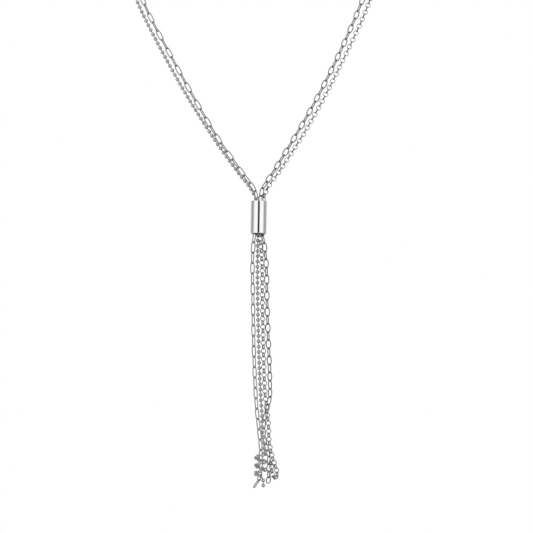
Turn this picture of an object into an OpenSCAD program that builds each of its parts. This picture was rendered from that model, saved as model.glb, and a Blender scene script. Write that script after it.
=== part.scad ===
// Fringe necklace: four chains of different links, two down each side of the neck, run through
// one polished tube and hang below it as a tassel of loose strands.
// The origin is at the nape, where the clasp lies on the neck. The wearer faces -Y.

/* [Loop] */
// How far the top of the tube hangs below the nape
tube_drop = 140; // [135:1:145]
// How far the tube hangs in front of the nape
tube_reach = 90; // [88:1:94]
// How far the tube hangs to the right of the middle of the neck
tube_shift = 3; // [1:0.5:5]
// Distance between the inner and the outer chain round the neck
chain_spacing = 2.9; // [2.8:0.1:3.2]

/* [Slide tube] */
// Length of the tube
tube_length = 14.9; // [14:0.1:16]
// Outside diameter of the tube
tube_diameter = 7.3; // [7.3:0.1:7.8]
// Thickness of the tube's wall
tube_wall = 0.45; // [0.3:0.05:0.45]
// Rounding of the tube's outer edges
tube_edge = 0.35; // [0.1:0.05:0.4]
// How far the tube leans, with its lower end to the left, in degrees
tube_lean = 1; // [0:0.5:1]

/* [Oblong chain] */
// Outside length of one oblong link
oblong_length = 5.83; // [5.6:0.01:6]
// Outside width of one oblong link
oblong_width = 2.3; // [2.1:0.1:2.3]

/* [Oval chain] */
// Outside length of one oval link
oval_length = 4.78; // [4.6:0.01:5]
// Outside width of one oval link
oval_width = 2.6; // [2.4:0.1:2.6]

/* [Wire] */
// Diameter of the wire of the oblong and oval links
link_wire = 0.5; // [0.4:0.01:0.5]
// Play between two links where they hang in each other
link_play = 0.13; // [0.12:0.01:0.15]

/* [Fine chains] */
// Diameter of the balls of the ball chain
ball_diameter = 1.8; // [1.6:0.05:1.8]
// Outside diameter of the rings of the rolo chain
rolo_diameter = 2.4; // [2.2:0.05:2.4]
// Longest stretch of a fine chain between two sections of its tube
section_spacing = 12.5; // [10:0.5:15]

/* [Clasp] */
// Diameter of the barrel
barrel_diameter = 4; // [3.6:0.1:4]
// Length of the barrel without its loops
barrel_length = 10; // [9:0.5:11]
// Diameter of the wire of the barrel's loops and the end rings
ring_wire = 0.7; // [0.6:0.05:0.8]
// Outside diameter of an end ring
ring_diameter = 5.1; // [5:0.1:5.4]

/* [Hidden] */
$fn = 48;
silver = [0.85, 0.86, 0.88];

// Places that the sizes settle
clasp_at = [0, barrel_diameter / 2, 0];
tube_top = [tube_shift, -tube_reach, -tube_drop];
bore_radius = tube_diameter / 2 - tube_wall;
loop_radius = 1.2;
loop_sunk = 0.2;
loop_reach = barrel_length / 2 + loop_radius - loop_sunk;
ring_radius = (ring_diameter - ring_wire) / 2;
ring_reach = loop_reach + loop_radius - ring_wire - link_play + ring_radius;

// Where each chain starts at its end ring, the ball chain in the ring's cup, and where it has fanned
// out from it, measured round the ring's middle from its outer side
// columns: start angle, start radius, fanned angle, fanned radius
hook_radius = ring_radius - ring_wire / 2 - link_wire / 2 - link_play;
cup_angle = -22;
cup_end = ring_radius + 2.6;
cup_depth = 2;
cup_floor_gap = 0.2;
WIRE_HOOK = [35, hook_radius, 22, 5];
BALL_HOOK = [cup_angle, cup_end - cup_depth + cup_floor_gap, cup_angle, 6.5];
ROLO_HOOK = [-22, ring_radius + 0.9, -18, 5];

// The inner chain's line round the right side of the neck, from the nape to the collar bone, and
// the direction in which the outer chain lies beside it
// columns: right, back, up, outer_right, outer_back, outer_up
NECK = [
    [20.5, -0.5,   1.5, 0.1,   0.3,  -0.95],
    [38.5, -9,     2.5, 0.3,   0.4,  -0.87],
    [54,   -25,    2,   0.67,  0.43, -0.6],
    [61,   -43,   -2.5, 0.95,  0.15, -0.27],
    [60,   -58,  -13,   0.96, -0.1,  -0.25],
    [56,   -67,  -29,   0.93, -0.05, -0.35]
];

// The chains down the chest to the tube, measured from the middle of the tube's top
// columns: right, back, up
OBLONG_FRONT = [[-51.2, 17.5, 90], [-40.1, 13.2, 68], [-28.3, 8.9, 46], [-17.2, 5, 27],
                [-7.2, 1.6, 12.5], [-1.8, -1.5, 4.4]];
BALL_FRONT = [[-53.9, 18.4, 90], [-42.9, 14.9, 68], [-30.7, 11, 46], [-18.9, 7, 27],
              [-8.8, 3.6, 12.5], [-3, 1.2, 4.5]];
OVAL_FRONT = [[45.4, 17.5, 90], [36, 13.2, 68], [25.2, 9.1, 46], [14.5, 5.9, 27],
              [5.8, 3.6, 12.5], [1, 2.2, 4.2]];
ROLO_FRONT = [[48.9, 17.5, 90], [39.1, 13.2, 68], [28.3, 8.9, 46], [17.6, 4.6, 27],
              [8.4, 0.8, 12.5], [3.2, -0.9, 4.5]];

// The four chains fill the tube in a bundle that turns as it goes down
// columns: right, back; rows: at the top, halfway, at the bottom
OBLONG_BORE = [[-0.6, -1.75], [-1.4, -1.2], [-1.75, 0.1]];
BALL_BORE = [[-1.05, 0.6], [-1.1, 1.35], [-0.35, 2.05]];
OVAL_BORE = [[0.8, 1.65], [1.3, 1.3], [1.75, 0.45]];
ROLO_BORE = [[1.7, -0.65], [1.15, -1.4], [0.35, -1.85]];

// The strands of the tassel below the tube, measured from the middle of the tube's top. The end of
// the rolo strand is turned back up behind itself
// columns: right, back, up
OBLONG_STRAND = [[-2.6, 0, -20], [-2.9, -0.2, -27], [-2.7, -0.3, -45], [-2.4, -0.3, -63],
                 [-1.8, -0.3, -81], [-1.3, -0.4, -90], [-0.5, -0.7, -99], [0.3, -1.1, -106],
                 [0.8, -1.5, -111.5], [0.9, -1.5, -117], [0.8, -1.7, -121.9], [0.3, -2.8, -125.1],
                 [-2.1, -6.2, -129.5]];
BALL_STRAND = [[-0.6, 1.5, -20], [-0.7, 0.8, -27], [-0.6, 0.5, -45], [-0.2, 0.5, -63],
               [0.4, 0.6, -81], [0.9, 0.7, -90], [1.4, 0.9, -97.5], [1.5, 1, -104], [2.2, 0.9, -110]];
BALL_END = [[1.7, -0.5, -125.6], [2, -1.1, -127.7], [1.7, -1.5, -130]];
OVAL_STRAND = [[2.4, 0.6, -20], [3.2, 0.9, -28], [3.6, 0.9, -45], [4.2, 0.9, -63], [4.9, 1, -81],
               [4.8, 1.6, -89.5], [3.6, 2.6, -94], [2.3, 3.2, -98.5], [2.2, 3.6, -106],
               [3, 4.8, -110.1], [4, 7.8, -112.9], [4.5, 10.4, -116.1], [4.5, 10.9, -119.8],
               [4.3, 8.5, -123.3], [4.2, 5.1, -126.9]];
ROLO_STRAND = [[0.8, -1.6, -20], [1.3, -1.1, -27], [1.5, -1, -45], [1.9, -1, -63],
               [2.3, -1, -78], [2.8, -0.9, -88], [3.6, -0.9, -95], [4.3, -0.8, -102],
               [4.6, -0.7, -109], [5.7, -0.8, -114.5], [7.2, -1.2, -119.5], [8.2, -1.4, -123.3],
               [7.9, -1, -124.6], [7.1, 0, -125.1], [6.3, 1, -124.6], [6, 1.4, -123.3],
               [5.6, 1.6, -120], [4.6, 1.6, -115.5]];

// How far the links are turned about their chain at some points of its route, which are counted
// from the end ring: 8 is at the collar bone, 14 in the tube's top, 17 just below the tube
// columns: number of the point, turn in degrees
OBLONG_TURN = [[0, 0], [8, 12], [12, 12], [13, 25], [14, 50], [15, 45], [17, 30], [29, 45]];
OVAL_TURN = [[0, 0], [8, 28], [12, 28], [13, 45], [14, 68], [20, 68], [22, 45], [26, 45], [31, 70]];

// Between its strand and its end, the ball chain is wound round the oblong strand, eight points a
// turn. It passes close where the turned links leave room and wide of their corners
winding_near = 2.2;
winding_wide = 2.45;
winding_from = -113.8;
winding_to = -123.9;
winding_points = 24;
function winding_angle(i) = (i - 1) * 45;
function oblong_at(up, axis) = lookup(-up, [for (row = OBLONG_STRAND) [-row.z, row[axis]]]);
WINDING = [for (i = [0:winding_points - 1])
               let (angle = winding_angle(i), radius = i % 2 == 0 ? winding_wide : winding_near,
                    up = winding_from + (winding_to - winding_from) * i / (winding_points - 1))
               [oblong_at(up, 0) + radius * cos(angle), oblong_at(up, 1) - radius * sin(angle), up]];
INWARD = [for (i = [0:winding_points - 1]) [-cos(winding_angle(i)), sin(winding_angle(i)), 0]];

function unit(v) = v / norm(v);
function neck_point(row, side, lane) =
    [side * (row[0] + lane * row[3]), row[1] + lane * row[4], row[2] + lane * row[5]];
function ring_point(side, radius, angle) =
    clasp_at + [side * (ring_reach + radius * cos(angle)), 0, radius * sin(angle)];

// A chain's route as points, from its end ring to the end of its strand
function route(side, lane, hook, front, bore, strand) = concat(
    [ring_point(side, hook[1], hook[0]), ring_point(side, hook[3], hook[2])],
    [for (row = NECK) neck_point(row, side, lane)],
    [for (row = front) tube_top + row],
    [for (i = [0:2]) tube_top + [bore[i].x, bore[i].y, 0] - i / 2 * tube_length * [tan(tube_lean), 0, 1]],
    [for (row = strand) tube_top + row]);

// The direction at each point in which the link's face spreads beside its chain: from ring to tube
// and down the strand, and then at the points of a winding
function sides(side, front, strand, wound = []) = concat(
    [[0, 0, -1], [0, 0, -1]],
    [for (row = NECK) [side * row[3], row[4], row[5]]],
    [for (i = [1:len(front) + 3 + len(strand)]) [side, 0, 0]],
    wound);

// A smooth curve through the points of a route
steps = 16;
function slope(p, i) =
    i == 0 ? unit(p[1] - p[0]) :
    i == len(p) - 1 ? unit(p[i] - p[i - 1]) :
    let (before = norm(p[i] - p[i - 1]), after = norm(p[i + 1] - p[i]))
    ((p[i] - p[i - 1]) / before * after + (p[i + 1] - p[i]) / after * before) / (before + after);
function between(p, i, u) =
    let (d = norm(p[i + 1] - p[i]))
    (2 * u ^ 3 - 3 * u ^ 2 + 1) * p[i] + (u ^ 3 - 2 * u ^ 2 + u) * d * slope(p, i)
    + (3 * u ^ 2 - 2 * u ^ 3) * p[i + 1] + (u ^ 3 - u ^ 2) * d * slope(p, i + 1);
function curve(p) = concat(
    [for (i = [0:len(p) - 2]) for (j = [0:steps - 1]) between(p, i, j / steps)],
    [p[len(p) - 1]]);
function lengths(c) =
    [for (i = 0, s = 0; i < len(c); s = s + (i + 1 < len(c) ? norm(c[i + 1] - c[i]) : 0), i = i + 1) s];

// A track holds what a chain follows, each as a table over the length along it: the place's three
// coordinates, the side direction's three, and the lengths of the route's own points
function track(points, spread) =
    let (c = curve(points), s = lengths(c), knots = [for (i = [0:len(points) - 1]) s[i * steps]])
    [for (axis = [0:2]) [for (i = [0:len(c) - 1]) [s[i], c[i][axis]]],
     for (axis = [0:2]) [for (i = [0:len(points) - 1]) [knots[i], spread[i][axis]]],
     knots];
function place(t, s) = [lookup(s, t[0]), lookup(s, t[1]), lookup(s, t[2])];
function heading(t, s, reach) = unit(place(t, s + reach) - place(t, s - reach));
function across(t, s, along) =
    let (side = [lookup(s, t[3]), lookup(s, t[4]), lookup(s, t[5])])
    unit(side - (side * along) * along);

oblong_track = track(route(-1, 0, WIRE_HOOK, OBLONG_FRONT, OBLONG_BORE, OBLONG_STRAND),
                     sides(-1, OBLONG_FRONT, OBLONG_STRAND));
ball_track = track(route(-1, chain_spacing, BALL_HOOK, BALL_FRONT, BALL_BORE,
                         concat(BALL_STRAND, WINDING, BALL_END)),
                   sides(-1, BALL_FRONT, BALL_STRAND,
                         concat(INWARD, [for (row = BALL_END) INWARD[winding_points - 1]])));
oval_track = track(route(1, 0, WIRE_HOOK, OVAL_FRONT, OVAL_BORE, OVAL_STRAND),
                   sides(1, OVAL_FRONT, OVAL_STRAND));
rolo_track = track(route(1, chain_spacing, ROLO_HOOK, ROLO_FRONT, ROLO_BORE, ROLO_STRAND),
                   sides(1, ROLO_FRONT, ROLO_STRAND));

// One wire link with round ends and straight sides, long in Y, flat in Z
module wire_link(length, width) {
    bend = (width - link_wire) / 2;
    straight = length - width;
    for (end = [0, 180])
        rotate([0, 0, end]) {
            translate([0, straight / 2, 0])
                rotate_extrude(angle = 180)
                    translate([bend, 0])
                        circle(d = link_wire);
            translate([bend, -straight / 2, 0])
                rotate([-90, 0, 0])
                    cylinder(d = link_wire, h = straight);
        }
}

// Links hung in each other along a track, as many as fit, every second one turned a quarter
module link_chain(t, length, width, turns) {
    knots = t[6];
    pitch = length - 2 * link_wire - link_play;
    first = (length - link_wire) / 2;
    last = floor((knots[len(knots) - 1] - first - pitch / 2) / pitch);
    turn_table = [for (row = turns) [knots[row[0]], row[1]]];
    for (i = [0:last]) {
        s = first + i * pitch;
        middle = (place(t, s + pitch / 2) + place(t, s - pitch / 2)) / 2;
        along = heading(t, s, pitch / 2);
        side = across(t, s, along);
        face = cross(side, along);
        turn = lookup(s, turn_table) + (i % 2 == 0 ? 90 : 0);
        wide = side * cos(turn) + face * sin(turn);
        flat = cross(wide, along);
        multmatrix([[wide.x, along.x, flat.x, middle.x],
                    [wide.y, along.y, flat.y, middle.y],
                    [wide.z, along.z, flat.z, middle.z],
                    [0, 0, 0, 1]])
            wire_link(length, width);
    }
}

// The outer form of a fine chain: an eight-sided tube along its track
module chain_tube(t, diameter) {
    knots = t[6];
    stops = [for (i = [0:len(knots) - 2])
                 let (parts = ceil((knots[i + 1] - knots[i]) / section_spacing))
                     for (j = [0:parts - 1]) knots[i] + (knots[i + 1] - knots[i]) * j / parts,
             knots[len(knots) - 1]];
    corners = 8;
    points = [for (s = stops)
                  let (along = heading(t, s, 0.5), side = across(t, s, along), face = cross(side, along))
                      for (k = [0:corners - 1])
                          place(t, s) + (side * cos(k * 360 / corners) + face * sin(k * 360 / corners))
                                        * diameter / 2];
    last = len(stops) - 1;
    faces = concat(
        [[for (k = [0:corners - 1]) k]],
        [for (i = [0:last - 1]) for (k = [0:corners - 1])
            [i * corners + k, (i + 1) * corners + k, (i + 1) * corners + (k + 1) % corners,
             i * corners + (k + 1) % corners]],
        [[for (k = [corners - 1:-1:0]) last * corners + k]]);
    polyhedron(points, faces, convexity = 10);
}

// Left inner chain: long straight-sided links
module oblong_chain() {
    color(silver)
        link_chain(oblong_track, oblong_length, oblong_width, OBLONG_TURN);
}

// Left outer chain: balls on short wires
module ball_chain() {
    color([0.8, 0.81, 0.83])
        chain_tube(ball_track, ball_diameter);
}

// Right inner chain: oval links
module oval_chain() {
    color(silver)
        link_chain(oval_track, oval_length, oval_width, OVAL_TURN);
}

// Right outer chain: small round rings of flat band
module rolo_chain() {
    color([0.8, 0.81, 0.83])
        chain_tube(rolo_track, rolo_diameter);
}

// Open tube with rounded outer edges that gathers the chains
module slide_tube() {
    outer = tube_diameter / 2;
    color([0.9, 0.9, 0.92])
        translate(tube_top)
            rotate([0, tube_lean, 0])
                rotate_extrude($fn = 96) {
                    translate([bore_radius, -tube_length])
                        square([outer - tube_edge - bore_radius, tube_length]);
                    translate([bore_radius, tube_edge - tube_length])
                        square([tube_wall, tube_length - 2 * tube_edge]);
                    for (end = [-tube_edge, tube_edge - tube_length])
                        translate([outer - tube_edge, end])
                            intersection() {
                                circle(r = tube_edge);
                                translate([0, -tube_edge])
                                    square([tube_edge, 2 * tube_edge]);
                            }
                }
}

// A ring that stands upright beside the clasp
module end_ring(side) {
    translate(ring_point(side, 0, 0))
        rotate([90, 0, 0])
            rotate_extrude()
                translate([ring_radius, 0])
                    circle(d = ring_wire);
}

// Left end ring, with the cup soldered to it that holds the ball chain's last ball
module left_end_ring() {
    cup_wall = 0.25;
    cup_bore = ball_diameter + 0.2;
    color(silver)
        difference() {
            union() {
                end_ring(-1);
                along_cup(ring_radius)
                    cylinder(d = cup_bore + 2 * cup_wall, h = cup_end - ring_radius);
            }
            along_cup(cup_end - cup_depth)
                cylinder(d = cup_bore, h = cup_end);
        }
}
module along_cup(reach) {
    translate(ring_point(-1, 0, 0))
        rotate([0, cup_angle - 90, 0])
            translate([0, 0, reach])
                children();
}

// Right end ring, plain
module right_end_ring() {
    color(silver)
        end_ring(1);
}

// Plain barrel with a loop at each end, lying across the nape
module barrel_clasp() {
    radius = barrel_diameter / 2;
    round = 0.9;
    color([0.88, 0.88, 0.9])
        translate(clasp_at) {
            rotate([0, 90, 0])
                rotate_extrude()
                    intersection() {
                        union() {
                            translate([0, -barrel_length / 2])
                                square([radius - round, barrel_length]);
                            translate([0, -barrel_length / 2 + round])
                                square([radius, barrel_length - 2 * round]);
                            for (end = [-1, 1])
                                translate([radius - round, end * (barrel_length / 2 - round)])
                                    circle(r = round);
                        }
                        translate([0, -barrel_length])
                            square([barrel_length, 2 * barrel_length]);
                    }
            for (side = [-1, 1])
                translate([side * loop_reach, 0, 0])
                    rotate_extrude()
                        translate([loop_radius, 0])
                            circle(d = ring_wire);
        }
}

oblong_chain();
ball_chain();
oval_chain();
rolo_chain();
slide_tube();
left_end_ring();
right_end_ring();
barrel_clasp();
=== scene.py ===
# Fringe necklace: two chains down each side of the neck run through one polished tube and hang
# below it as a tassel of loose strands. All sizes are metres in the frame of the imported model:
# the origin is at the nape, the wearer faces -Y, and +X is to the right as seen from the front.
import math

import bpy
import numpy as np
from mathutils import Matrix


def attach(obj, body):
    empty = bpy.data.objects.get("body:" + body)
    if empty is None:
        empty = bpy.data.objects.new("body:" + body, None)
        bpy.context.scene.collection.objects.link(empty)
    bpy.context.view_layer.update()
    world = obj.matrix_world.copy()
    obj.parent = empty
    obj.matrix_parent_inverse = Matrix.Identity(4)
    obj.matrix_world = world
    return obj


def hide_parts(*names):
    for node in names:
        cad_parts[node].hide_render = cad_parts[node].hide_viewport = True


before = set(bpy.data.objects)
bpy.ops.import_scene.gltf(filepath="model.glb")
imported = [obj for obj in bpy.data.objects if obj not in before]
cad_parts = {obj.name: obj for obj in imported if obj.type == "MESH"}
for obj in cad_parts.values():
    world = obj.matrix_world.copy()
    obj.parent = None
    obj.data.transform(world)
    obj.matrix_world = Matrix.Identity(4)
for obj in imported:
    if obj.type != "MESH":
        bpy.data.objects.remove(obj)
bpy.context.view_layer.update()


# Barrel clasp: a turned brass barrel, plated and polished, with a wire loop soldered into each end.
# It closes the loop behind the neck, where skin and collars leave it a little duller than the rest.
class Socket:
    """An output of a node. Arithmetic on it adds Math nodes, and node() adds a node of any kind."""

    def __init__(self, tree, output=None):
        self.tree = tree
        self.output = output

    def node(self, kind, settings=None, inputs=None, output=0):
        made = self.tree.nodes.new(kind)
        for name, value in (settings or {}).items():
            setattr(made, name, value)
        for name, value in (inputs or {}).items():
            self.feed(made.inputs[name], value)
        return Socket(self.tree, made.outputs[output])

    def feed(self, target, value):
        if isinstance(value, Socket):
            self.tree.links.new(value.output, target)
        else:
            target.default_value = value

    def math(self, operation, *values):
        return self.node("ShaderNodeMath", {"operation": operation}, dict(enumerate(values)))

    def __add__(self, other):
        return self.math("ADD", self, other)

    def __radd__(self, other):
        return self.math("ADD", other, self)

    def __sub__(self, other):
        return self.math("SUBTRACT", self, other)

    def __rsub__(self, other):
        return self.math("SUBTRACT", other, self)

    def __mul__(self, other):
        return self.math("MULTIPLY", self, other)

    def __rmul__(self, other):
        return self.math("MULTIPLY", other, self)

    def step(self, start, end):
        """0 before start and 1 past end, with a soft change between them."""
        limits = {"Value": self, "From Min": start, "From Max": end}
        return self.node("ShaderNodeMapRange", {"interpolation_type": "SMOOTHSTEP"}, limits)

    def tint(self, low, high):
        """The grey or colour that goes from low to high while this value goes from 0 to 1."""
        return self.node("ShaderNodeMix", {"data_type": "RGBA"}, {0: self, 6: low, 7: high}, 2)


def grey(level):
    """A grey with a trace of blue."""
    return (level, level, level * 1.005, 1)


# What the clouds of duller polish and the painted shade where one piece meets the next take from the
# bright plating. An edge is the stretch of the noise over which a cloud or a scratch begins
cloud_edge = [0.35, 0.8]
cloud_dulling = 0.5
painted_shade_strength = 0.9
dull_roughness = 0.12

# Hairline scratches, much finer than the clouds
scratches_per_cloud = 9
scratch_edge = [0.55, 0.75]
scratch_roughness = 0.05
scratch_strength = 0.12
scratch_depth = 0.00002


def plated_metal(name, bright, dull, gloss, cloud_size=0.0015):
    """Plating polished in a tumbler: clouds of a slightly duller polish, hairline scratches, and
    painted shade, darker metal where a mask on the mesh marks that one piece meets the next."""
    material = bpy.data.materials.new(name)
    material.use_nodes = True
    tree = material.node_tree
    shader = tree.nodes["Principled BSDF"]
    shader.inputs["Metallic"].default_value = 1
    place = Socket(tree).node("ShaderNodeTexCoord", output="Object")
    cloud_form = {"Vector": place, "Scale": 1 / cloud_size, "Detail": 3}
    clouds = place.node("ShaderNodeTexNoise", None, cloud_form, "Fac")
    scratch_scale = scratches_per_cloud / cloud_size
    scratch_form = {"Vector": place, "Scale": scratch_scale, "Detail": 5, "Distortion": 1.5}
    scratches = place.node("ShaderNodeTexNoise", None, scratch_form, "Fac")
    shade_paint = place.node("ShaderNodeAttribute", {"attribute_name": "painted_shade"}, output="Fac")
    # Painted shade: the mesh's shade mask darkens and dulls the plating where one piece meets the next
    dullness_and_shade = clouds.step(*cloud_edge) * cloud_dulling + shade_paint * painted_shade_strength
    place.feed(shader.inputs["Base Color"], dullness_and_shade.tint(grey(bright), grey(dull)))
    scratched = scratches.step(*scratch_edge) * scratch_roughness
    place.feed(shader.inputs["Roughness"], gloss + dullness_and_shade * dull_roughness + scratched)
    relief = {"Height": scratches, "Strength": scratch_strength, "Distance": scratch_depth}
    place.feed(shader.inputs["Normal"], place.node("ShaderNodeBump", None, relief, "Normal"))
    return material


def finish_node(node, material):
    """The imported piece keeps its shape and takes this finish."""
    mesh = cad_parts[node].data
    mesh.materials.clear()
    mesh.materials.append(material)


barrel_plating = plated_metal("barrel_plating", bright=0.82, dull=0.6, gloss=0.14, cloud_size=0.004)
finish_node("barrel_clasp", barrel_plating)


# End rings: a soldered ring of round wire on each side of the clasp. The left one carries the
# drawn cup that the last ball of the ball chain is pressed into.
ring_plating = plated_metal("ring_plating", bright=0.8, dull=0.55, gloss=0.12)
finish_node("left_end_ring", ring_plating)
finish_node("right_end_ring", ring_plating)


# Oblong chain, the left inner one: links of drawn wire with long sides and rounded ends, each
# closed with a butt joint in one side and hung through the next a quarter turn round.
tube_top = np.array([0.003, -0.090, -0.140])
tube_length = 0.0149
tube_lean = math.radians(1)
clasp_depth = 0.002
ring_reach = 0.00857
ring_radius = 0.0022
ring_wire = 0.0007
link_wire = 0.0005
link_play = 0.00013
oblong_length = 0.00583
oblong_width = 0.0023
oblong_squareness = 2.8

# A chain's first two points, by its end ring: the angle in degrees and the distance from the
# middle of the ring, for the one and then the other
wire_hook = [35, ring_radius - ring_wire / 2 - link_wire / 2 - link_play, 22, 0.005]

# The inner chain's line round the neck, and the direction in which the outer chain lies beside it
# columns: right, back, up, outer_right, outer_back, outer_up
NECK = np.array([
    [0.0205, -0.0005, 0.0015, 0.1, 0.3, -0.95],
    [0.0385, -0.009, 0.0025, 0.3, 0.4, -0.87],
    [0.054, -0.025, 0.002, 0.67, 0.43, -0.6],
    [0.061, -0.043, -0.0025, 0.95, 0.15, -0.27],
    [0.060, -0.058, -0.013, 0.96, -0.1, -0.25],
    [0.056, -0.067, -0.029, 0.93, -0.05, -0.35],
])

# Down the chest, in the tube's bore and down the tassel, all measured from the middle of the
# tube's top. columns: right, back, up. The bore has right and back at its top, halfway down and at
# its bottom
OBLONG_FRONT = [[-0.0512, 0.0175, 0.09], [-0.0401, 0.0132, 0.068], [-0.0283, 0.0089, 0.046],
                [-0.0172, 0.005, 0.027], [-0.0072, 0.0016, 0.0125], [-0.0018, -0.0015, 0.0044]]
OBLONG_BORE = [[-0.0006, -0.00175], [-0.0014, -0.0012], [-0.00175, 0.0001]]
OBLONG_STRAND = [[-0.0026, 0, -0.02], [-0.0029, -0.0002, -0.027], [-0.0027, -0.0003, -0.045],
                 [-0.0024, -0.0003, -0.063], [-0.0018, -0.0003, -0.081], [-0.0013, -0.0004, -0.09],
                 [-0.0005, -0.0007, -0.099], [0.0003, -0.0011, -0.106], [0.0008, -0.0015, -0.1115],
                 [0.0009, -0.0015, -0.117], [0.0008, -0.0017, -0.1219], [0.0003, -0.0028, -0.1251],
                 [-0.0021, -0.0062, -0.1295]]

# The links are turned about their chain. columns: number of the route's point, counted from the
# end ring, and degrees
OBLONG_TURN = [[0, 0], [8, 12], [12, 12], [13, 25], [14, 50], [15, 45], [17, 30], [29, 45]]


def unit(vectors):
    return vectors / np.linalg.norm(vectors, axis=-1, keepdims=True)


class Track:
    """A chain's line from its end ring to the end of its strand, looked up by the length along it.
    The side is -1 on the left and 1 on the right. The lane is how far the chain lies from the
    inner one round the neck."""

    steps = 16

    def __init__(self, side, lane, hook, front, bore, strand):
        ring = np.array([side * ring_reach, clasp_depth, 0])
        hooked = []
        for angle, radius in (hook[:2], hook[2:]):
            turn = math.radians(angle)
            hooked.append(ring + [side * radius * math.cos(turn), 0, radius * math.sin(turn)])
        flip = np.array([side, 1, 1])
        beside = NECK[:, 3:] * flip
        bored = [[right - depth * math.tan(tube_lean), back, -depth]
                 for (right, back), depth in zip(bore, (0, tube_length / 2, tube_length))]
        points = np.vstack([hooked, NECK[:, :3] * flip + lane * beside,
                            tube_top + np.vstack([front, bored, strand])])
        below = len(points) - len(hooked) - len(NECK)
        self.spread = np.vstack([[[0, 0, -1]] * len(hooked), beside, [[side, 0, 0]] * below])
        self.line = self.curve(points)
        gaps = np.linalg.norm(np.diff(self.line, axis=0), axis=1)
        self.length = np.concatenate([[0], np.cumsum(gaps)])
        self.knots = self.length[::self.steps]

    def curve(self, points):
        """A smooth line through the points, with each slope weighed by the shorter stretch."""
        chords = np.diff(points, axis=0)
        gaps = np.linalg.norm(chords, axis=1, keepdims=True)
        way = chords / gaps
        inner = (way[:-1] * gaps[1:] + way[1:] * gaps[:-1]) / (gaps[:-1] + gaps[1:])
        slopes = np.vstack([way[:1], inner, way[-1:]])
        u = (np.arange(self.steps) / self.steps).reshape(1, -1, 1)
        start, end = points[:-1, None], points[1:, None]
        leave, arrive = (slopes[:-1] * gaps)[:, None], (slopes[1:] * gaps)[:, None]
        parts = ((2 * u**3 - 3 * u**2 + 1) * start + (u**3 - 2 * u**2 + u) * leave
                 + (3 * u**2 - 2 * u**3) * end + (u**3 - u**2) * arrive)
        return np.vstack([parts.reshape(-1, 3), points[-1:]])

    def place(self, lengths):
        return np.stack([np.interp(lengths, self.length, column) for column in self.line.T], axis=-1)

    def axes(self, lengths, reach, turn):
        """At each length: across the chain after a turn in degrees, along it, and across both."""
        along = unit(self.place(lengths + reach) - self.place(lengths - reach))
        side = np.stack([np.interp(lengths, self.knots, column) for column in self.spread.T], axis=-1)
        side = unit(side - np.sum(side * along, axis=1, keepdims=True) * along)
        face = np.cross(side, along)
        angle = np.radians(turn)[:, None]
        wide = side * np.cos(angle) + face * np.sin(angle)
        return wide, along, np.cross(wide, along)


def link_row(track, pitch, first, last, turns):
    """The middle and the axes of each link in a row, every second one turned a quarter."""
    lengths = np.arange(first, last, pitch)
    middle = (track.place(lengths + pitch / 2) + track.place(lengths - pitch / 2)) / 2
    points, degrees = np.transpose(turns)
    quarter = np.where(np.arange(len(lengths)) % 2 == 0, 90, 0)
    turn = np.interp(lengths, track.knots[points], degrees) + quarter
    return middle, *track.axes(lengths, pitch / 2, turn)


def rounded(half_width, half_length, squareness, count):
    """An outline between an ellipse, at a squareness of 2, and a rectangle, as it grows."""
    angle = np.linspace(0, 2 * np.pi, count, endpoint=False)
    x, y = np.cos(angle), np.sin(angle)
    return np.stack([half_width * np.sign(x) * np.abs(x) ** (2 / squareness),
                     half_length * np.sign(y) * np.abs(y) ** (2 / squareness)], axis=-1)


# Where on its outline a link is closed, the groove there, and from how near to its ends painted shade
# darkens it
joint_at = 0.02
joint_width = 0.00005
joint_girth = 0.8
shade_painted_from = 0.8


def bent_round(outline, section, segments):
    """One closed link: a section of wire or band carried round an outline. A groove crosses it
    where its two ends were brought together. Returns its points, faces and painted shade mask."""
    closed = np.vstack([outline, outline[:1]])
    length = np.concatenate([[0], np.cumsum(np.linalg.norm(np.diff(closed, axis=0), axis=1))])
    even = np.linspace(0, length[-1], segments, endpoint=False)
    joint = joint_at * length[-1]
    even = even[np.abs(even - joint) > 2 * joint_width]
    stops = np.sort(np.concatenate([even, joint + joint_width * np.array([-1, 0, 1])]))
    girth = np.where(np.abs(stops - joint) < joint_width / 2, joint_girth, 1)[:, None]

    def on_outline(lengths):
        return np.stack([np.interp(lengths % length[-1], length, column) for column in closed.T], axis=-1)

    small = length[-1] / len(outline)
    way = unit(on_outline(stops + small) - on_outline(stops - small))
    outward = np.stack([way[:, 1], -way[:, 0]], axis=-1)
    middle = on_outline(stops)
    flat = middle[:, None] + outward[:, None] * (section[:, 0] * girth)[..., None]
    points = np.concatenate([flat, (section[:, 1] * girth)[..., None]], axis=2).reshape(-1, 3)
    sides = len(section)
    i, j = np.meshgrid(np.arange(len(stops)), np.arange(sides), indexing="ij")
    after, beside = (i + 1) % len(stops), (j + 1) % sides
    faces = np.stack([i * sides + j, i * sides + beside, after * sides + beside, after * sides + j], -1)
    # Painted shade: on the inner side of the wire near the link's ends, where the next link hangs through
    nearness = np.abs(middle[:, 1]) / np.abs(outline[:, 1]).max()
    end = np.clip((nearness - shade_painted_from) / (1 - shade_painted_from), 0, 1)
    inner = np.clip(-section[:, 0] / section[:, 0].max(), 0, 1)
    return points, faces.reshape(-1, 4), np.outer(end, inner).ravel()


outline_points = 400
wire_sides = 10
wire_segments = 34


def wire_links(track, length, width, squareness, turns):
    """A chain of wire links that are hung in each other with a little play."""
    outline = rounded((width - link_wire) / 2, (length - link_wire) / 2, squareness, outline_points)
    section = rounded(link_wire / 2, link_wire / 2, 2, wire_sides)
    pitch = length - 2 * link_wire - link_play
    row = link_row(track, pitch, (length - link_wire) / 2, track.length[-1] - pitch / 2, turns)
    return row, bent_round(outline, section, wire_segments)


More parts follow.
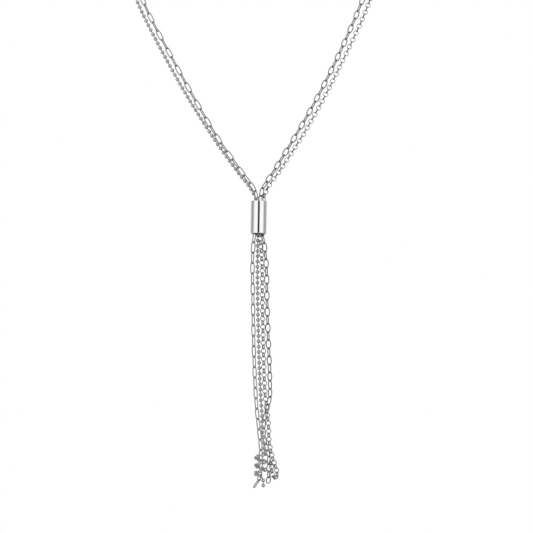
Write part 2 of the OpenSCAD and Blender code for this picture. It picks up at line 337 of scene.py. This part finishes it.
def joined(name, parts, material, slot, *nodes):
    """One mesh of many like parts. Each entry of parts has the places, the axes and a shape."""
    all_points, all_faces, all_painted_shades = [], [], []
    start = 0
    for (middle, wide, along, flat), (points, faces, painted_shade) in parts:
        basis = np.stack([wide, along, flat], axis=1)
        all_points.append((middle[:, None] + points @ basis).reshape(-1, 3))
        offsets = start + len(points) * np.arange(len(middle))
        all_faces += (faces[None] + offsets[:, None, None]).reshape(-1, faces.shape[1]).tolist()
        all_painted_shades.append(np.tile(painted_shade, len(middle)))
        start += len(points) * len(middle)
    mesh = bpy.data.meshes.new(name)
    mesh.from_pydata(np.vstack(all_points), [], all_faces)
    mesh.shade_smooth()
    # The painted shade mask is stored on the mesh for the finish to darken
    mesh.attributes.new("painted_shade", "FLOAT", "POINT").data.foreach_set("value", np.concatenate(all_painted_shades))
    mesh.materials.append(material)
    piece = bpy.data.objects.new(name, mesh)
    bpy.context.scene.collection.objects.link(piece)
    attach(piece, "root")
    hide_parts(*nodes)


oblong_track = Track(-1, 0, wire_hook, OBLONG_FRONT, OBLONG_BORE, OBLONG_STRAND)
oblong_links = wire_links(oblong_track, oblong_length, oblong_width, oblong_squareness, OBLONG_TURN)
# Painted shade: the chains take far darker greys than the same plating on the tube, for the shade among the
# strands
oblong_wire = plated_metal("oblong_wire", bright=0.42, dull=0.19, gloss=0.14)
joined("oblong_links", [oblong_links], oblong_wire, "oblong_wire", "oblong_chain")


# Ball chain, the left outer one: hollow balls rolled from strip round short dumb-bell wires, so
# that each ball has a small hole with a turned-in lip at both ends. Its last ball sits in the cup.
chain_spacing = 0.0029
ball_hook = [-22, 0.003, -22, 0.0065]
BALL_FRONT = [[-0.0539, 0.0184, 0.09], [-0.0429, 0.0149, 0.068], [-0.0307, 0.011, 0.046],
              [-0.0189, 0.007, 0.027], [-0.0088, 0.0036, 0.0125], [-0.003, 0.0012, 0.0045]]
BALL_BORE = [[-0.00105, 0.0006], [-0.0011, 0.00135], [-0.00035, 0.00205]]
BALL_STRAND = [[-0.0006, 0.0015, -0.02], [-0.0007, 0.0008, -0.027], [-0.0006, 0.0005, -0.045],
               [-0.0002, 0.0005, -0.063], [0.0004, 0.0006, -0.081], [0.0009, 0.0007, -0.09],
               [0.0014, 0.0009, -0.0975], [0.0015, 0.001, -0.104], [0.0022, 0.0009, -0.11]]
BALL_END = [[0.0017, -0.0005, -0.1256], [0.002, -0.0011, -0.1277], [0.0017, -0.0015, -0.13]]

# Between its strand and its end, the chain is wound round the oblong strand, a point every 45
# degrees. It passes close where the turned links leave room and wide of their corners
winding_near = 0.0022
winding_wide = 0.00245
winding_from = -0.1138
winding_to = -0.1239
winding_points = 24
winding_step = 45
winding_up = np.linspace(winding_from, winding_to, winding_points)
winding_angle = np.radians(winding_step * (np.arange(winding_points) - 1))
winding_radius = np.where(np.arange(winding_points) % 2 == 0, winding_wide, winding_near)
oblong_right, oblong_back, oblong_up = np.array(OBLONG_STRAND)[::-1].T
winding_right = np.interp(winding_up, oblong_up, oblong_right) + winding_radius * np.cos(winding_angle)
winding_back = np.interp(winding_up, oblong_up, oblong_back) - winding_radius * np.sin(winding_angle)
WINDING = np.stack([winding_right, winding_back, winding_up], axis=-1)

ball_radius = 0.0009
ball_pitch = 0.00241
ball_hole = 0.0003
ball_wire = 0.00022
ball_sides = 14
ball_rings = 11
# Painted shade on a ball starts this far from its middle and darkens it towards the holes
ball_shade_from = 0.0006
dumb_bell_sides = 8
dumb_bell_end = 0.00002
# How much painted shade darkens the wire between two balls
dumb_bell_shade = 0.4

# The strip's edge, turned in round the hole. columns: radius, height
BALL_LIP = [(0.00005, 0.00064), (0.00024, 0.00066)]

# Each ball is turned on its wire by this many degrees from the one before
ball_turn = 40


def turned(profile, sides, painted_shade):
    """A shape turned round its Y axis from rows of radius and height, from one end to the other."""
    angle = 2 * np.pi * np.arange(sides) / sides
    rings = np.array([[[radius * math.cos(a), height, radius * math.sin(a)] for a in angle]
                      for radius, height in profile])
    i, j = np.meshgrid(np.arange(len(profile) - 1), np.arange(sides), indexing="ij")
    beside = (j + 1) % sides
    faces = np.stack([i * sides + j, (i + 1) * sides + j, (i + 1) * sides + beside, i * sides + beside], -1)
    return rings.reshape(-1, 3), faces.reshape(-1, 4), np.repeat(painted_shade, sides)


def hollow_ball():
    """The ball between its two lips, with painted shade near the holes."""
    hole_angle = math.asin(ball_hole / ball_radius)
    bulge = [(ball_radius * math.sin(angle), ball_radius * math.cos(angle))
             for angle in np.linspace(hole_angle, math.pi - hole_angle, ball_rings)]
    profile = BALL_LIP + bulge + [(radius, -height) for radius, height in reversed(BALL_LIP)]
    heights = np.abs([height for _, height in profile])
    painted_shade = np.clip((heights - ball_shade_from) / (ball_radius - ball_shade_from), 0, 1)
    return turned(profile, ball_sides, painted_shade)


def dumb_bell():
    """The wire from the middle of one ball to the middle of the next, darkened with painted shade."""
    half = ball_pitch / 2
    profile = [(dumb_bell_end, half), (ball_wire, half), (ball_wire, -half), (dumb_bell_end, -half)]
    return turned(profile, dumb_bell_sides, [0, dumb_bell_shade, dumb_bell_shade, 0])


def ball_row(track, lengths):
    """The places and the axes of balls, or of wires, at these lengths along the chain."""
    turns = ball_turn * np.arange(len(lengths))
    return track.place(lengths), *track.axes(lengths, ball_pitch / 2, turns)


ball_route = np.vstack([BALL_STRAND, WINDING, BALL_END])
ball_track = Track(-1, chain_spacing, ball_hook, BALL_FRONT, BALL_BORE, ball_route)
ball_places = np.arange(ball_radius, ball_track.length[-1], ball_pitch)
balls = ball_row(ball_track, ball_places), hollow_ball()
wires = ball_row(ball_track, ball_places[:-1] + ball_pitch / 2), dumb_bell()
# Painted shade: darker greys than the tube's plating, for the shade among the strands
ball_metal = plated_metal("ball_metal", bright=0.65, dull=0.3, gloss=0.08)
joined("ball_strand", [balls, wires], ball_metal, "ball_metal", "ball_chain")


# Oval chain, the right inner one: the same drawn wire bent up into shorter, truly oval links, which
# are closed and hung in each other as the oblong ones are.
OVAL_FRONT = [[0.0454, 0.0175, 0.09], [0.036, 0.0132, 0.068], [0.0252, 0.0091, 0.046],
              [0.0145, 0.0059, 0.027], [0.0058, 0.0036, 0.0125], [0.001, 0.0022, 0.0042]]
OVAL_BORE = [[0.0008, 0.00165], [0.0013, 0.0013], [0.00175, 0.00045]]
OVAL_STRAND = [[0.0024, 0.0006, -0.02], [0.0032, 0.0009, -0.028], [0.0036, 0.0009, -0.045],
               [0.0042, 0.0009, -0.063], [0.0049, 0.001, -0.081], [0.0048, 0.0016, -0.0895],
               [0.0036, 0.0026, -0.094], [0.0023, 0.0032, -0.0985], [0.0022, 0.0036, -0.106],
               [0.003, 0.0048, -0.1101], [0.004, 0.0078, -0.1129], [0.0045, 0.0104, -0.1161],
               [0.0045, 0.0109, -0.1198], [0.0043, 0.0085, -0.1233], [0.0042, 0.0051, -0.1269]]
OVAL_TURN = [[0, 0], [8, 28], [12, 28], [13, 45], [14, 68], [20, 68], [22, 45], [26, 45], [31, 70]]
oval_length = 0.00478
oval_width = 0.0026
oval_squareness = 2.1
oval_track = Track(1, 0, wire_hook, OVAL_FRONT, OVAL_BORE, OVAL_STRAND)
oval_links = wire_links(oval_track, oval_length, oval_width, oval_squareness, OVAL_TURN)
# Painted shade: the same wire as the oblong chain, in still darker greys for the shade among the strands
oval_wire = plated_metal("oval_wire", bright=0.33, dull=0.14, gloss=0.14)
joined("oval_links", [oval_links], oval_wire, "oval_wire", "oval_chain")


# Rolo chain, the right outer one: small round rings of flat band with softened edges, each closed
# and hung through the next a quarter turn round, from the right end ring down.
rolo_hook = [-22, ring_radius + 0.0009, -18, 0.005]
ROLO_FRONT = [[0.0489, 0.0175, 0.09], [0.0391, 0.0132, 0.068], [0.0283, 0.0089, 0.046],
              [0.0176, 0.0046, 0.027], [0.0084, 0.0008, 0.0125], [0.0032, -0.0009, 0.0045]]
ROLO_BORE = [[0.0017, -0.00065], [0.00115, -0.0014], [0.00035, -0.00185]]
ROLO_STRAND = [[0.0008, -0.0016, -0.02], [0.0013, -0.0011, -0.027], [0.0015, -0.001, -0.045],
               [0.0019, -0.001, -0.063], [0.0023, -0.001, -0.078], [0.0028, -0.0009, -0.088],
               [0.0036, -0.0009, -0.095], [0.0043, -0.0008, -0.102], [0.0046, -0.0007, -0.109],
               [0.0057, -0.0008, -0.1145], [0.0072, -0.0012, -0.1195], [0.0082, -0.0014, -0.1233],
               [0.0079, -0.001, -0.1246], [0.0071, 0, -0.1251], [0.0063, 0.001, -0.1246],
               [0.006, 0.0014, -0.1233], [0.0056, 0.0016, -0.12], [0.0046, 0.0016, -0.1155]]
ROLO_TURN = [[0, 0], [8, 5], [12, 10], [14, 22]]
rolo_radius = 0.00119
rolo_pitch = 0.00181
rolo_segments = 22
band_thickness = 0.00027
band_width = 0.00056
band_squareness = 4
band_sides = 12
band_middle = rolo_radius - band_thickness / 2
band_section = rounded(band_thickness / 2, band_width / 2, band_squareness, band_sides)
rolo_outline = rounded(band_middle, band_middle, 2, outline_points)
rolo_ring = bent_round(rolo_outline, band_section, rolo_segments)
rolo_track = Track(1, chain_spacing, rolo_hook, ROLO_FRONT, ROLO_BORE, ROLO_STRAND)
rolo_row = link_row(rolo_track, rolo_pitch, 0, rolo_track.length[-1] - rolo_radius, ROLO_TURN)
# Painted shade: darker greys than the tube's plating, for the shade among the strands
rolo_band = plated_metal("rolo_band", bright=0.32, dull=0.14, gloss=0.12)
joined("rolo_rings", [(rolo_row, rolo_ring)], rolo_band, "rolo_band", "rolo_chain")


# Slide tube: a length of drawn tube with its outer edges rounded over, plated and mirror
# polished outside, and left matte in its bore. It gathers the four chains and slides on them.
tube_radius = 0.00365
tube_wall = 0.00045
bore_edge = 0.00005
bore_roughness = 0.5


def coordinates(place, axes):
    """The named coordinates of a place or of a direction, each as a value of its own."""
    return [place.node("ShaderNodeSeparateXYZ", None, {"Vector": place}, axis) for axis in axes]


def matte_bore(material, axis_right, axis_back, wall_middle):
    """Roughens the tube's finish wherever it is nearer to the tube's axis than the wall's middle."""
    tree = material.node_tree
    roughness = tree.nodes["Principled BSDF"].inputs["Roughness"]
    polished = Socket(tree, roughness.links[0].from_socket)
    right, back = coordinates(polished.node("ShaderNodeTexCoord", output="Object"), "XY")
    right = right - axis_right
    back = back - axis_back
    from_axis = right.math("SQRT", right * right + back * back)
    outside = from_axis.step(wall_middle - bore_edge, wall_middle + bore_edge)
    polished.feed(roughness, polished + (1 - outside) * bore_roughness)


tube_middle = tube_top - tube_length / 2 * np.array([math.tan(tube_lean), 0, 1])
tube_plating = plated_metal("tube_plating", bright=0.93, dull=0.86, gloss=0.03, cloud_size=0.006)
matte_bore(tube_plating, tube_middle[0], tube_middle[1], tube_radius - tube_wall / 2)
finish_node("slide_tube", tube_plating)


# Studio: the necklace hangs by its clasp in front of white, between two tall soft boxes. A dark
# gap is left for the camera, the sides are grey, and a pale floor lies well below.
gap_level = 0.05
box_level = 1.05
side_level = 0.38
ceiling_level = 0.62
floor_level = 0.45

# Where one level gives way to the next, in degrees round from the camera, then up and down
gap_to_box = [11, 17]
box_to_side = [54, 90]
side_to_back = [108, 180]
ceiling_edge = [30, 60]
floor_edge = [20, 55]


def past(angle, edge):
    """0 before the edge and 1 past it. The edge has its start and its end in degrees."""
    start, end = np.radians(edge)
    return angle.step(start, end)


def studio_light():
    """White for the camera, and the levels above for what the metal reflects."""
    world = bpy.data.worlds.new("studio")
    bpy.context.scene.world = world
    world.use_nodes = True
    tree = world.node_tree
    x, y, z = coordinates(Socket(tree).node("ShaderNodeTexCoord", output="Generated"), "XYZ")
    from_camera = x.math("ARCTAN2", x.math("ABSOLUTE", x), 0 - y)
    height = z.math("ARCSINE", z)
    level = past(from_camera, gap_to_box) * (box_level - gap_level) + gap_level
    level = level + past(from_camera, box_to_side) * (side_level - box_level)
    level = level + past(from_camera, side_to_back) * (1 - side_level)
    level = level + past(height, ceiling_edge) * (ceiling_level - level)
    level = level + past(0 - height, floor_edge) * (floor_level - level)
    seen = level.node("ShaderNodeLightPath", output="Is Camera Ray")
    level.feed(tree.nodes["Background"].inputs["Color"], level + seen * (1 - level))


studio_light()

floor_size = 60
floor_height = -1
floor_corners = [[-1, -1], [1, -1], [1, 1], [-1, 1]]
floor_points = [[x * floor_size, y * floor_size, floor_height] for x, y in floor_corners]
floor_mesh = bpy.data.meshes.new("floor")
floor_mesh.from_pydata(floor_points, [], [[0, 1, 2, 3]])
floor = bpy.data.objects.new("floor", floor_mesh)
bpy.context.scene.collection.objects.link(floor)
floor_paint = bpy.data.materials.new("floor_paint")
floor_paint.use_nodes = True
floor_shader = floor_paint.node_tree.nodes["Principled BSDF"]
floor_shader.inputs["Base Color"].default_value = grey(0.9)
floor_shader.inputs["Roughness"].default_value = 0.8
floor_shader.inputs["Emission Color"].default_value = grey(1)
floor_shader.inputs["Emission Strength"].default_value = 0.25
floor_mesh.materials.append(floor_paint)
floor.visible_glossy = False

# The camera looks up a little at the middle of the view, which is measured from the tube's top
camera_distance = 2.5
look_up = math.radians(6)
view_width = 0.23985
view_middle = tube_top + [0.00338, 0, -0.02966]
camera_data = bpy.data.cameras.new("camera")
camera_data.sensor_width = 36
camera_data.lens = camera_data.sensor_width * camera_distance / view_width
camera = bpy.data.objects.new("camera", camera_data)
camera.location = view_middle - camera_distance * np.array([0, math.cos(look_up), math.sin(look_up)])
camera.rotation_euler = (math.pi / 2 + look_up, 0, 0)
bpy.context.scene.collection.objects.link(camera)
bpy.context.scene.camera = camera
bpy.context.scene.view_settings.view_transform = "Standard"
